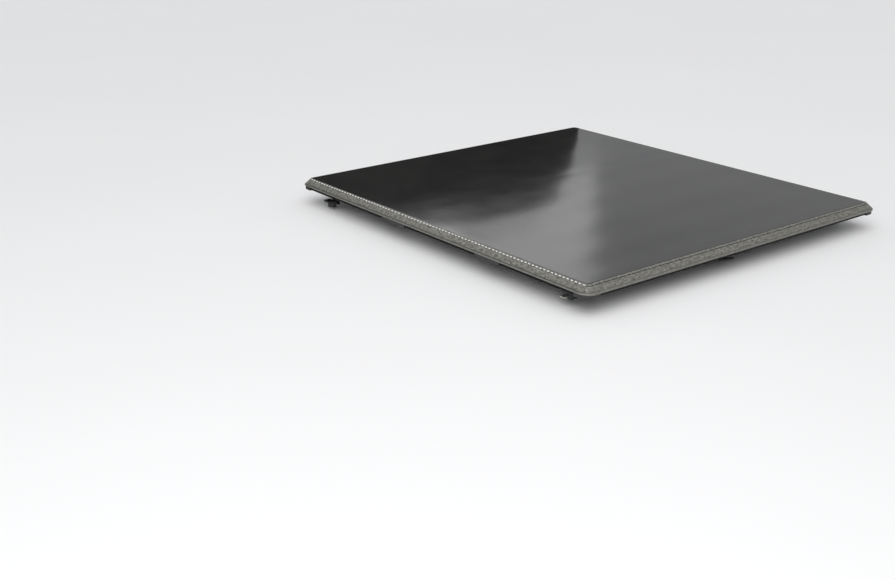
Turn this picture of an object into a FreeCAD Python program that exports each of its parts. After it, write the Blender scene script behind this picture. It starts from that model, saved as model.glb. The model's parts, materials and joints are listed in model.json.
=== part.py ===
import FreeCAD, Part
import math
import os
import re
import Sketcher

# A soft folding cover for a pickup truck's bed: three aluminium-framed panels under one vinyl
# skin whose sewn border slopes down all round, with screw clamps under the front panel and
# spring latches under the rear one.
#
# X points to the right-hand side of the truck, Y forward to the cab and Z up. The origin is
# under the middle of the cover, level with the lower ends of the clamp studs. Lengths are mm.
#
# Outlines are written in two measures: how far in from the cover's outer edge a point lies,
# and how high it is above the hem.

SIZES = {
    "cover_width": 1684,
    "front_panel": 649,
    "spacer": 96,
    "mid_panel": 545,
    "rear_panel": 534,
    "fold_gap": 0.5,
    "hem_height": 88,
    "crest_rise": 31,
    "crest_inset": 31,
    "lip_rise": 5,
    "corner_radius": 47,
    "skin_thick": 1.2,
    "skin_edge": 0.7,
    "border_lap": 0.6,
    "mitre_top": 0.44,
    "mitre_low": 0.56,
    "rail_inset": 2.4,
    "rail_crest": 33,
    "rail_inner": 50,
    "rail_rise": 29.6,
    "rail_wall": 2.2,
    "hollow_mitre": 1.4,
    "corner_arm": 28,
    "tenon_length": 30,
    "tenon_play": 0.25,
    "tenon_root": 5,
    "fold_rail_width": 28,
    "fold_chamfer": 3,
    "short_corner": 29,
    "long_corner": 70,
    "bow_width": 40,
    "bow_depth": 16,
    "foot_inset": 4,
    "foot_inner": 30,
    "foot_arm": 23,
    "foot_depth": 15,
    "foot_root": 1,
    "seal_inset": 8,
    "seal_width": 18,
    "seal_depth": 16,
    "seal_bevel": 4,
    "seal_bore": 4.5,
    "seal_play": 1,
    "clamp_from_front": 160,
    "clamp_width": 40,
    "arm_outer": 30,
    "arm_inner": 88,
    "arm_thick": 6,
    "clamp_back_low": 20,
    "jaw_width": 36,
    "jaw_low": 34,
    "jaw_high": 42,
    "jaw_play": 0.3,
    "stud_inset": 60,
    "stud_radius": 4,
    "stud_head_radius": 7.5,
    "stud_head_height": 5.5,
    "thread_play": 0.06,
    "knob_low": 12,
    "knob_height": 21.8,
    "knob_radius": 19,
    "knob_scallop": 5,
    "knob_scallop_ring": 21,
    "latch_from_rear": 150,
    "latch_width": 44,
    "latch_outer": 52,
    "latch_inner": 100,
    "latch_low": 28,
    "latch_guide_high": 44,
    "latch_web": 8,
    "latch_ear": 5,
    "bolt_tip": 28,
    "bolt_ramp": 12,
    "bolt_nose": 3,
    "bolt_inner": 90,
    "bolt_catch": 50,
    "bolt_groove": 1,
    "bolt_low": 31,
    "bolt_high": 41,
    "bolt_width": 20,
    "bolt_play": 0.3,
    "rod_radius": 3,
    "rod_height": 36,
    "rod_jog_start": 500,
    "rod_jog_end": 560,
    "eye_half": 10,
    "eye_thick": 3,
    "crank_throw": 25,
    "crank_lead": 17.5,
    "crank_pin": 3,
    "crank_pin_top": 39,
    "crank_disc": 32,
    "crank_low": 30,
    "crank_thick": 2.5,
    "pin_play": 0.25,
    "lever_length": 76,
    "lever_width": 16,
    "grip_half": 32,
    "grip_width": 14,
    "pivot_radius": 5,
    "pivot_head": 9,
    "bracket_width": 90,
    "bracket_outer": 30,
    "bracket_web": 72,
    "bracket_inner": 192,
    "bracket_thick": 3,
    "bracket_low": 42,
    "screw_radius": 2.5,
    "screw_head": 4.5,
    "screw_head_height": 3,
    "screw_inset": 40,
    "screw_spread": 12,
    "screw_play": 0.1,
    "bracket_screw_spread": 30,
}

# places along the truck, as expressions of the sizes
FRONT = "(front_panel + spacer + mid_panel + rear_panel) / 2"
FRONT_FOLD = f"({FRONT} - front_panel)"
SPACER_FOLD = f"({FRONT_FOLD} - spacer)"
REAR_FOLD = f"({SPACER_FOLD} - mid_panel)"
REAR = f"({REAR_FOLD} - rear_panel)"
CLAMP = f"({FRONT} - clamp_from_front)"
LATCH = f"({REAR} + latch_from_rear)"

doc = FreeCAD.newDocument("tonneau_cover")
sheet = doc.addObject("Spreadsheet::Sheet", "Dims")
for row, (size_name, value) in enumerate(SIZES.items(), start=1):
    sheet.set(f"A{row}", str(value))
    sheet.setAlias(f"A{row}", size_name)
doc.recompute()

nodes = {}


def in_sheet(expression):
    """The expression with each size's name pointed at its cell."""
    return re.sub(
        r"[a-z_]+",
        lambda word: f"Dims.{word[0]}" if word[0] in SIZES else word[0],
        expression,
    )


def bind(thing, where, expression):
    thing.setExpression(where, in_sheet(expression))


def new_body(name, at=("0", "0", "0"), turn="0"):
    """An empty body whose own origin is placed at three expressions, turned about Z."""
    body = doc.addObject("PartDesign::Body", name)
    body.Label = name
    body.Placement = FreeCAD.Placement(
        FreeCAD.Vector(), FreeCAD.Rotation(FreeCAD.Vector(0, 0, 1), 1)
    )
    bind(body, "Placement.Rotation.Angle", turn)
    for letter, expression in zip("xyz", at):
        bind(body, f"Placement.Base.{letter}", expression)
    return body


def new_sketch(body, plane_role, raised="0"):
    """A sketch on one of the body's own planes, raised along that plane's normal."""
    sketch = body.newObject("Sketcher::SketchObject", f"{body.Name}_sketch")
    plane = next(f for f in body.Origin.OriginFeatures if f.Role == plane_role)
    sketch.AttachmentSupport = [(plane, "")]
    sketch.MapMode = "FlatFace"
    bind(sketch, "AttachmentOffset.Base.z", raised)
    return sketch


def fix_point(sketch, geometry, end, across, up):
    """Ties one point of the sketch's geometry to two expressions."""
    for kind, expression in (("DistanceX", across), ("DistanceY", up)):
        rule = Sketcher.Constraint(kind, -1, 1, geometry, end, 1.0)
        index = sketch.addConstraint(rule)
        bind(sketch, f"Constraints[{index}]", expression)


def add_loop(sketch, points, closed=True):
    """Straight lines through points, each a pair of expressions."""
    first = sketch.GeometryCount
    count = len(points)
    spread = [
        FreeCAD.Vector(math.cos(2 * math.pi * i / count), math.sin(2 * math.pi * i / count), 0)
        for i in range(count)
    ]
    lines = count if closed else count - 1
    for i in range(lines):
        sketch.addGeometry(Part.LineSegment(spread[i], spread[(i + 1) % count]))
    for i in range(lines if closed else lines - 1):
        nxt = (i + 1) % lines
        sketch.addConstraint(Sketcher.Constraint("Coincident", first + i, 2, first + nxt, 1))
    for i in range(lines):
        fix_point(sketch, first + i, 1, *points[i])
    if not closed:
        fix_point(sketch, first + lines - 1, 2, *points[-1])


def add_circle(sketch, across, up, radius):
    index = sketch.addGeometry(Part.Circle(FreeCAD.Vector(1, 1, 0), FreeCAD.Vector(0, 0, 1), 1))
    fix_point(sketch, index, 3, across, up)
    rule = sketch.addConstraint(Sketcher.Constraint("Radius", index, 1.0))
    bind(sketch, f"Constraints[{rule}]", radius)


def rectangle(low_across, high_across, low_up, high_up):
    return [
        (low_across, low_up),
        (high_across, low_up),
        (high_across, high_up),
        (low_across, high_up),
    ]


def pad(body, sketch, length, reverse=False, middle=False):
    feature = body.newObject("PartDesign::Pad", f"{body.Name}_pad")
    feature.Profile = sketch
    feature.SideType = "Symmetric" if middle else "One side"
    feature.Reversed = reverse
    bind(feature, "Length", length)
    return feature


def pocket(body, sketch):
    """Cuts the sketch right through the body, both ways."""
    feature = body.newObject("PartDesign::Pocket", f"{body.Name}_pocket")
    feature.Profile = sketch
    feature.Type = "ThroughAll"
    feature.SideType = "Symmetric"
    return feature


def edge_names(shape, wanted):
    """The names of the shape's straight edges for which wanted(start, end) is true."""
    return [
        f"Edge{number}"
        for number, edge in enumerate(shape.Edges, start=1)
        if len(edge.Vertexes) == 2 and wanted(edge.Vertexes[0].Point, edge.Vertexes[1].Point)
    ]


def mirrored(source, name):
    """The source seen in the cover's middle plane."""
    copy = doc.addObject("Part::Mirroring", name)
    copy.Label = name
    copy.Source = source
    copy.Normal = FreeCAD.Vector(1, 0, 0)
    return copy


def group(name, members):
    """One node of separate solids."""
    whole = doc.addObject("Part::Compound", name)
    whole.Label = name
    whole.Links = members
    nodes[name] = whole
    return whole


def both_sides(left, name):
    """A left-hand piece and its mirror image as one node."""
    return group(name, [left, mirrored(left, f"{name}_mirror")])


def left_x(inset):
    return f"-1 * (cover_width / 2 - ({inset}))"


def hem(rise):
    return f"hem_height + ({rise})"


def rail_outline():
    """The closed outside of an edge rail."""
    return [
        ("rail_inset", "0"),
        ("rail_inset", "lip_rise"),
        ("rail_crest", "rail_rise"),
        ("rail_inner", "rail_rise"),
        ("rail_inner", "0"),
    ]


def rail_hollow(play="0"):
    """The inside of an edge rail, or a tenon that fits it with some play."""
    near = f"rail_inset + rail_wall + ({play})"
    low = f"rail_wall + ({play})"
    high = f"rail_rise - rail_wall - ({play})"
    return [
        (near, low),
        (near, "lip_rise"),
        (f"rail_crest + hollow_mitre + ({play})", high),
        (f"rail_inner - rail_wall - ({play})", high),
        (f"rail_inner - rail_wall - ({play})", low),
    ]


def border_outline():
    """The sloping vinyl border: a short upright lip, then the slope to the crest."""
    return [
        ("0", "0"),
        ("0", "lip_rise"),
        ("crest_inset", "crest_rise"),
        ("crest_inset + border_lap", "crest_rise"),
        ("crest_inset + border_lap", "crest_rise - skin_thick"),
        ("crest_inset + mitre_top", "crest_rise - skin_thick"),
        ("skin_thick", "lip_rise - mitre_low"),
        ("skin_thick", "0"),
    ]


def seal_outline():
    """A bulb seal's outside, flat where it rests on the truck."""
    outer = "seal_inset"
    inner = "seal_inset + seal_width"
    return [
        (outer, "0"),
        (inner, "0"),
        (inner, "seal_bevel - seal_depth"),
        (f"{inner} - seal_bevel", "-1 * seal_depth"),
        (f"{outer} + seal_bevel", "-1 * seal_depth"),
        (outer, "seal_bevel - seal_depth"),
    ]


def on_left(points):
    """An outline across the cover's left edge, in a lengthwise piece's own plane."""
    return [(left_x(inset), hem(rise)) for inset, rise in points]


def on_front(points):
    """An outline across the front edge, in a crosswise piece whose origin is on that edge."""
    return [(f"-1 * ({inset})", hem(rise)) for inset, rise in points]


def on_rear(points):
    """An outline across the rear edge, in a crosswise piece whose origin is on that edge."""
    return [(inset, hem(rise)) for inset, rise in points]


def lengthwise(name, loops, start, end, bore=None):
    """A piece of one section that runs along the truck from start back to end."""
    body = new_body(name, at=("0", start, "0"))
    sketch = new_sketch(body, "XZ_Plane")
    for points in loops:
        add_loop(sketch, points)
    if bore:
        add_circle(sketch, *bore)
    pad(body, sketch, f"({start}) - ({end})")
    return body


def crosswise(name, loops, edge, inset, bore=None):
    """A piece of one section that runs across the truck, ending inset from each side."""
    body = new_body(name, at=("0", edge, "0"))
    sketch = new_sketch(body, "YZ_Plane")
    for points in loops:
        add_loop(sketch, points)
    if bore:
        add_circle(sketch, *bore)
    pad(body, sketch, f"cover_width - 2 * ({inset})", middle=True)
    return body


def side_rails(panel, start, end):
    loops = [on_left(rail_outline()), on_left(rail_hollow())]
    left = lengthwise(f"{panel}_side_rail_left", loops, start, end)
    add_pair(left, f"{panel}_side_rail_right")


def edge_rail(name, edge, place):
    body = crosswise(
        name, [place(rail_outline()), place(rail_hollow())], edge, "corner_radius + corner_arm"
    )
    nodes[name] = body


def fold_rail(name, fold, towards):
    """The cross rail beside a fold: towards is 1 for one in front of the fold, or -1."""
    far = f"{towards} * fold_rail_width"
    wall = f"{towards} * rail_wall"
    near = f"{towards} * fold_gap"
    hollow = rectangle(
        f"{near} + {wall}",
        f"{far} - {wall}",
        hem("rail_wall"),
        hem("rail_rise - fold_chamfer - rail_wall"),
    )
    section = [
        (near, hem("0")),
        (near, hem("rail_rise - fold_chamfer")),
        (f"{near} + {towards} * fold_chamfer", hem("rail_rise")),
        (far, hem("rail_rise")),
        (far, hem("0")),
    ]
    nodes[name] = crosswise(name, [section, hollow], fold, "rail_inner")


def bow(name, middle):
    """The thin roof bow that holds up the middle of a panel's skin."""
    half = "bow_width / 2"
    outside = rectangle(f"-1 * {half}", half, hem("rail_rise - bow_depth"), hem("rail_rise"))
    inside = rectangle(
        f"rail_wall - {half}",
        f"{half} - rail_wall",
        hem("rail_rise - bow_depth + rail_wall"),
        hem("rail_rise - rail_wall"),
    )
    nodes[name] = crosswise(name, [outside, inside], middle, "rail_inner")


def cast_block(name, fold, towards, length):
    """The block at the left end of a fold: the rail's own section, its feet and two tenons."""
    body = new_body(name, at=("0", f"{fold} + {towards} * fold_gap", "0"))
    reverse = towards > 0
    sketch = new_sketch(body, "XZ_Plane")
    add_loop(sketch, on_left(rail_outline()))
    block = pad(body, sketch, f"{length} - fold_gap", reverse=reverse)
    doc.recompute()
    top = sheet.hem_height + sheet.rail_rise
    bevel = body.newObject("PartDesign::Chamfer", f"{name}_bevel")
    bevel.Base = (
        block,
        edge_names(
            block.Shape,
            lambda a, b: all(abs(p.z - top) < 0.01 and abs(p.y) < 0.01 for p in (a, b)),
        ),
    )
    bind(bevel, "Size", "fold_chamfer")
    tenon = new_sketch(body, "XZ_Plane")
    add_loop(tenon, on_left(rail_hollow("tenon_play")))
    pad(body, tenon, f"{length} + tenon_length", reverse=reverse)
    cross = new_sketch(body, "YZ_Plane", raised=left_x("rail_inner + tenon_length"))
    inner = f"{towards} * (rail_wall + tenon_play)"
    outer = f"{towards} * (fold_rail_width - fold_gap - rail_wall - tenon_play)"
    low = hem("rail_wall + tenon_play")
    high = hem("rail_rise - fold_chamfer - rail_wall - tenon_play")
    add_loop(cross, rectangle(inner, outer, low, high))
    pad(body, cross, "tenon_length + tenon_root", reverse=True)
    foot = new_sketch(body, "XZ_Plane")
    add_loop(
        foot,
        rectangle(
            left_x("foot_inset"), left_x("foot_inner"), hem("-1 * foot_depth"), hem("foot_root")
        ),
    )
    pad(body, foot, f"{length} - fold_gap", reverse=reverse)
    return body


def corner_casting(name, side, end, turn):
    """A rounded corner of the frame. Its own origin is the centre of the rounded corner."""
    x = f"{side} * (cover_width / 2 - corner_radius)"
    y = f"{end} * ({FRONT} - corner_radius)"
    body = new_body(name, at=(x, y, "0"), turn=turn)
    round_points = [
        ("rail_inset", "0"),
        ("rail_inset", "lip_rise"),
        ("rail_crest", "rail_rise"),
        ("corner_radius", "rail_rise"),
        ("corner_radius", "0"),
    ]
    quarter = new_sketch(body, "XZ_Plane")
    add_loop(quarter, [(f"-1 * (corner_radius - ({u}))", hem(z)) for u, z in round_points])
    turned = body.newObject("PartDesign::Revolution", f"{name}_quarter")
    turned.Profile = quarter
    turned.ReferenceAxis = (quarter, ["V_Axis"])
    turned.Angle = 90
    solid = [(f"({u}) - corner_radius", hem(z)) for u, z in rail_outline()]
    inside = [(f"({u}) - corner_radius", hem(z)) for u, z in rail_hollow("tenon_play")]
    for plane, reverse in (("XZ_Plane", True), ("YZ_Plane", False)):
        for points, reach in ((solid, "corner_arm"), (inside, "corner_arm + tenon_length")):
            arm = new_sketch(body, plane)
            add_loop(arm, points)
            pad(body, arm, reach, reverse=reverse)
    outer = "-1 * (corner_radius - foot_inset)"
    inner = "-1 * (corner_radius - foot_inner)"
    for plane, reverse in (("XZ_Plane", True), ("YZ_Plane", False)):
        foot = new_sketch(body, plane)
        add_loop(foot, rectangle(outer, inner, hem("-1 * foot_depth"), hem("foot_root")))
        pad(body, foot, "foot_arm", reverse=reverse)
    foot = new_sketch(body, "XZ_Plane")
    add_loop(foot, rectangle(outer, inner, hem("-1 * foot_depth"), hem("foot_root")))
    swept = body.newObject("PartDesign::Revolution", f"{name}_foot")
    swept.Profile = foot
    swept.ReferenceAxis = (foot, ["V_Axis"])
    swept.Angle = 90
    nodes[name] = body


def skin(name, rear, front, round_at=None):
    """A panel's flat top skin, with its two outer corners rounded where the panel has them."""
    body = new_body(name, at=("0", rear, "0"))
    sketch = new_sketch(body, "XY_Plane", raised=hem("crest_rise - skin_thick"))
    side = "cover_width / 2 - crest_inset - skin_edge"
    add_loop(sketch, rectangle(f"-1 * ({side})", side, "0", f"({front}) - ({rear})"))
    sheet_pad = pad(body, sketch, "skin_thick")
    if round_at:
        doc.recompute()
        far = 0 if round_at == "rear" else max(v.Point.y for v in sheet_pad.Shape.Vertexes)
        rounding = body.newObject("PartDesign::Fillet", f"{name}_corners")
        rounding.Base = (
            sheet_pad,
            edge_names(
                sheet_pad.Shape,
                lambda a, b: abs(a.z - b.z) > 0.5 and abs(a.y - far) < 0.01,
            ),
        )
        bind(rounding, "Radius", "corner_radius - crest_inset - skin_edge")
    nodes[name] = body


def border_left(name, fold, end):
    """The left border strip of an end panel, from its fold and round the outer corner."""
    corner = f"{end} * ({FRONT} - corner_radius)"
    body = new_body(name, at=("-1 * (cover_width / 2 - corner_radius)", corner, "0"))
    points = [(f"({u}) - corner_radius", hem(z)) for u, z in border_outline()]
    straight = new_sketch(body, "XZ_Plane")
    add_loop(straight, points)
    length = f"{end} * (({corner}) - ({fold})) - fold_gap"
    pad(body, straight, length, reverse=end < 0)
    bend = new_sketch(body, "XZ_Plane")
    add_loop(bend, points)
    turned = body.newObject("PartDesign::Revolution", f"{name}_bend")
    turned.Profile = bend
    turned.ReferenceAxis = (bend, ["V_Axis"])
    turned.Angle = 90
    turned.Reversed = end > 0
    return body


def add_pair(left, right_name):
    """Keeps a left-hand piece and its mirror image as two nodes."""
    nodes[left.Name] = left
    nodes[right_name] = mirrored(left, right_name)


def side_seals(name, start, end):
    bore = (left_x("seal_inset + seal_width / 2"), hem("-1 * seal_depth / 2"), "seal_bore")
    left = lengthwise(f"{name}_left", [on_left(seal_outline())], start, end, bore)
    both_sides(left, name)


def end_seal(name, edge, place):
    bore = place([("seal_inset + seal_width / 2", "-1 * seal_depth / 2")])[0] + ("seal_bore",)
    inset = "corner_radius + foot_arm + seal_play"
    nodes[name] = crosswise(name, [place(seal_outline())], edge, inset, bore)


def front_panel():
    rail_start = f"({FRONT} - corner_radius - corner_arm)"
    side_rails("front", rail_start, f"({FRONT_FOLD} + short_corner)")
    edge_rail("header_rail", FRONT, on_front)
    fold_rail("front_fold_rail", FRONT_FOLD, 1)
    bow("front_bow", f"({FRONT_FOLD} + front_panel / 2)")
    corner_casting("front_corner_right", 1, 1, "180")
    corner_casting("front_corner_left", -1, 1, "270")
    block = cast_block("front_fold_block", FRONT_FOLD, 1, "short_corner")
    both_sides(block, "front_fold_corners")
    skin("front_skin", f"({FRONT_FOLD} + fold_gap)", f"({FRONT} - crest_inset - skin_edge)", "front")
    add_pair(border_left("front_border_left", FRONT_FOLD, 1), "front_border_right")
    nodes["header_border"] = crosswise(
        "header_border", [on_front(border_outline())], FRONT, "corner_radius"
    )
    side_seals(
        "front_side_seals",
        f"({FRONT} - corner_radius - foot_arm - seal_play)",
        f"({FRONT_FOLD} + short_corner + seal_play)",
    )
    end_seal("header_seal", FRONT, on_front)


def mid_panel():
    side_rails("mid", f"({SPACER_FOLD} - short_corner)", f"({REAR_FOLD} + long_corner)")
    fold_rail("mid_front_rail", SPACER_FOLD, -1)
    fold_rail("mid_rear_rail", REAR_FOLD, 1)
    bow("mid_bow", f"({REAR_FOLD} + mid_panel / 2)")
    both_sides(cast_block("mid_front_block", SPACER_FOLD, -1, "short_corner"), "mid_front_corners")
    both_sides(cast_block("mid_rear_block", REAR_FOLD, 1, "long_corner"), "mid_rear_corners")
    skin("mid_skin", f"({REAR_FOLD} + fold_gap)", f"({SPACER_FOLD} - fold_gap)")
    strip = lengthwise(
        "mid_border_left",
        [on_left(border_outline())],
        f"({SPACER_FOLD} - fold_gap)",
        f"({REAR_FOLD} + fold_gap)",
    )
    add_pair(strip, "mid_border_right")
    side_seals(
        "mid_side_seals",
        f"({SPACER_FOLD} - short_corner - seal_play)",
        f"({REAR_FOLD} + long_corner + seal_play)",
    )


def rear_panel():
    rail_end = f"({REAR} + corner_radius + corner_arm)"
    side_rails("rear", f"({REAR_FOLD} - long_corner)", rail_end)
    edge_rail("tail_rail", REAR, on_rear)
    fold_rail("rear_fold_rail", REAR_FOLD, -1)
    bow("rear_bow", f"({REAR_FOLD} - rear_panel / 2)")
    corner_casting("rear_corner_left", -1, -1, "0")
    corner_casting("rear_corner_right", 1, -1, "90")
    both_sides(cast_block("rear_fold_block", REAR_FOLD, -1, "long_corner"), "rear_fold_corners")
    skin("rear_skin", f"({REAR} + crest_inset + skin_edge)", f"({REAR_FOLD} - fold_gap)", "rear")
    add_pair(border_left("rear_border_left", REAR_FOLD, -1), "rear_border_right")
    nodes["tail_border"] = crosswise(
        "tail_border", [on_rear(border_outline())], REAR, "corner_radius"
    )
    side_seals(
        "rear_side_seals",
        f"({REAR_FOLD} - long_corner - seal_play)",
        f"({REAR} + corner_radius + foot_arm + seal_play)",
    )
    end_seal("tail_seal", REAR, on_rear)


def spacer_bar():
    """The stiff bar between the two creases of the front fold, with a cap at each end."""
    near = "-1 * fold_gap"
    far = "fold_gap - spacer"
    top = hem("rail_rise")
    shoulder = hem("rail_rise - fold_chamfer")
    section = [
        (near, hem("0")),
        (near, shoulder),
        (f"{near} - fold_chamfer", top),
        (f"{far} + fold_chamfer", top),
        (far, shoulder),
        (far, hem("0")),
    ]
    hollow = rectangle(
        f"{near} - rail_wall",
        f"{far} + rail_wall",
        hem("rail_wall"),
        hem("rail_rise - fold_chamfer - rail_wall"),
    )
    nodes["spacer_bar"] = crosswise("spacer_bar", [section, hollow], FRONT_FOLD, "rail_inner")

    cap = new_body("spacer_cap", at=("0", f"{FRONT_FOLD} - fold_gap", "0"))
    length = "spacer - 2 * fold_gap"
    for points in (
        on_left(rail_outline()),
        rectangle(
            left_x("foot_inset"), left_x("foot_inner"), hem("-1 * foot_depth"), hem("foot_root")
        ),
    ):
        sketch = new_sketch(cap, "XZ_Plane")
        add_loop(sketch, points)
        pad(cap, sketch, length)
    tenon = new_sketch(cap, "YZ_Plane", raised=left_x("rail_inner + tenon_length"))
    add_loop(
        tenon,
        rectangle(
            "-1 * (rail_wall + tenon_play)",
            "2 * fold_gap - spacer + rail_wall + tenon_play",
            hem("rail_wall + tenon_play"),
            hem("rail_rise - fold_chamfer - rail_wall - tenon_play"),
        ),
    )
    pad(cap, tenon, "tenon_length + tenon_root", reverse=True)
    both_sides(cap, "spacer_caps")
    skin("spacer_skin", f"({SPACER_FOLD} + fold_gap)", f"({FRONT_FOLD} - fold_gap)")
    strip = lengthwise(
        "spacer_border",
        [on_left(border_outline())],
        f"({FRONT_FOLD} - fold_gap)",
        f"({SPACER_FOLD} + fold_gap)",
    )
    both_sides(strip, "spacer_borders")


def screw(name, at, held):
    """A pan-head screw that comes up from below through held: at is that piece's underside."""
    body = new_body(name, at=at)
    for radius, start, length in (
        ("screw_head", "-1 * screw_head_height", "screw_head_height"),
        ("screw_radius", "-1 * screw_head_height", f"screw_head_height + ({held})"),
    ):
        sketch = new_sketch(body, "XY_Plane", raised=start)
        add_circle(sketch, "0", "0", radius)
        pad(body, sketch, length)
    return body


def screw_holes(body, places):
    sketch = new_sketch(body, "XY_Plane")
    for across, along in places:
        add_circle(sketch, across, along, "screw_radius + screw_play")
    pocket(body, sketch)


def front_clamps():
    """A stud hangs from each clamp's arm, and a knob on it lifts the jaw to the bed rail."""
    arm = new_body("clamp_body_left", at=("0", CLAMP, "0"))
    sketch = new_sketch(arm, "XZ_Plane")
    low = "hem_height - arm_thick"
    back = "arm_inner - arm_thick"
    add_loop(
        sketch,
        [
            (left_x("arm_outer"), "hem_height"),
            (left_x("arm_inner"), "hem_height"),
            (left_x("arm_inner"), "clamp_back_low"),
            (left_x(back), "clamp_back_low"),
            (left_x(back), low),
            (left_x("arm_outer"), low),
        ],
    )
    pad(arm, sketch, "clamp_width", middle=True)
    stud_hole = new_sketch(arm, "XY_Plane")
    add_circle(stud_hole, left_x("stud_inset"), "0", "stud_radius + screw_play")
    pocket(arm, stud_hole)
    spread = ("screw_spread", "-1 * screw_spread")
    screw_holes(arm, [(left_x("screw_inset"), along) for along in spread])
    add_pair(arm, "clamp_body_right")

    stud = new_body("clamp_stud", at=(left_x("stud_inset"), CLAMP, "0"))
    for radius, start, length in (
        ("stud_radius", "0", "hem_height + stud_head_height"),
        ("stud_head_radius", "hem_height", "stud_head_height"),
    ):
        sketch = new_sketch(stud, "XY_Plane", raised=start)
        add_circle(sketch, "0", "0", radius)
        pad(stud, sketch, length)
    both_sides(stud, "clamp_studs")

    jaw = new_body("clamp_jaw_left", at=("0", CLAMP, "0"))
    sketch = new_sketch(jaw, "XZ_Plane")
    inner = left_x(f"{back} - jaw_play")
    add_loop(sketch, rectangle(left_x("arm_outer"), inner, "jaw_low", "jaw_high"))
    pad(jaw, sketch, "jaw_width", middle=True)
    hole = new_sketch(jaw, "XY_Plane")
    add_circle(hole, left_x("stud_inset"), "0", "stud_radius + jaw_play")
    pocket(jaw, hole)
    add_pair(jaw, "clamp_jaw_right")

    knob = new_body("clamp_knob_left", at=(left_x("stud_inset"), CLAMP, "0"))
    sketch = new_sketch(knob, "XY_Plane", raised="knob_low")
    add_circle(sketch, "0", "0", "knob_radius")
    pad(knob, sketch, "knob_height")
    scallop_sketch = new_sketch(knob, "XY_Plane")
    add_circle(scallop_sketch, "0", "knob_scallop_ring", "knob_scallop")
    scallop = pocket(knob, scallop_sketch)
    lobes = knob.newObject("PartDesign::PolarPattern", "knob_lobes")
    lobes.Originals = [scallop]
    lobes.Axis = (scallop_sketch, ["N_Axis"])
    lobes.Angle = 360
    lobes.Occurrences = 6
    knob.Tip = lobes
    bore = new_sketch(knob, "XY_Plane")
    add_circle(bore, "0", "0", "stud_radius + thread_play")
    pocket(knob, bore)
    add_pair(knob, "clamp_knob_right")

    screws = [
        screw(
            f"clamp_screw_{number}",
            (left_x("screw_inset"), f"{CLAMP} + {along}", low),
            "arm_thick",
        )
        for number, along in enumerate(spread)
    ]
    group("clamp_screws", screws + [mirrored(one, f"{one.Name}_mirror") for one in screws])


def rear_latches():
    """Two bolts under the rear panel reach out below the bed rails. Rods pull them in."""
    housing = new_body("latch_housing", at=("0", LATCH, "0"))
    sketch = new_sketch(housing, "XZ_Plane")
    ear = "hem_height - latch_ear"
    web = "latch_outer + latch_web"
    add_loop(
        sketch,
        [
            (left_x("arm_outer"), "hem_height"),
            (left_x("latch_inner"), "hem_height"),
            (left_x("latch_inner"), ear),
            (left_x(web), ear),
            (left_x(web), "latch_guide_high"),
            (left_x("latch_inner"), "latch_guide_high"),
            (left_x("latch_inner"), "latch_low"),
            (left_x("latch_outer"), "latch_low"),
            (left_x("latch_outer"), ear),
            (left_x("arm_outer"), ear),
        ],
    )
    pad(housing, sketch, "latch_width", middle=True)
    slot = new_sketch(housing, "YZ_Plane")
    half = "bolt_width / 2 + bolt_play"
    slot_low = "bolt_low - bolt_play"
    slot_high = "bolt_high + bolt_play"
    add_loop(slot, rectangle(f"-1 * ({half})", half, slot_low, slot_high))
    pocket(housing, slot)
    spread = ("screw_spread", "-1 * screw_spread")
    screw_holes(housing, [(left_x("screw_inset"), along) for along in spread])
    both_sides(housing, "latch_housings")

    # a groove across the bolt's top ends its catching face just outside the housing
    bolt = new_body("latch_bolt_left", at=("0", LATCH, "0"))
    sketch = new_sketch(bolt, "XZ_Plane")
    add_loop(
        sketch,
        [
            (left_x("bolt_tip"), "bolt_high"),
            (left_x("bolt_catch"), "bolt_high"),
            (left_x("bolt_catch"), "bolt_high - bolt_groove"),
            (left_x("bolt_catch + bolt_groove"), "bolt_high - bolt_groove"),
            (left_x("bolt_catch + bolt_groove"), "bolt_high"),
            (left_x("bolt_inner"), "bolt_high"),
            (left_x("bolt_inner"), "bolt_low"),
            (left_x("bolt_tip + bolt_ramp"), "bolt_low"),
            (left_x("bolt_tip"), "bolt_high - bolt_nose"),
        ],
    )
    pad(bolt, sketch, "bolt_width", middle=True)
    add_pair(bolt, "latch_bolt_right")

    for side, name, turn in ((-1, "pull_rod_left", "0"), (1, "pull_rod_right", "180")):
        x = f"{side} * (cover_width / 2 - bolt_inner)"
        pull_rod(name, (x, LATCH, "rod_height"), turn)

    handle()
    handle_bracket()
    strap_hole = ("-1 * bracket_screw_spread", f"{REAR} + screw_inset")
    screws = [
        screw(
            f"latch_screw_{number}",
            (left_x("screw_inset"), f"{LATCH} + {along}", ear),
            "latch_ear",
        )
        for number, along in enumerate(spread)
    ]
    screws += [
        screw("strap_screw", (*strap_hole, "hem_height - bracket_thick"), "bracket_thick")
    ]
    group("latch_screws", screws + [mirrored(one, f"{one.Name}_mirror") for one in screws])


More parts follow.
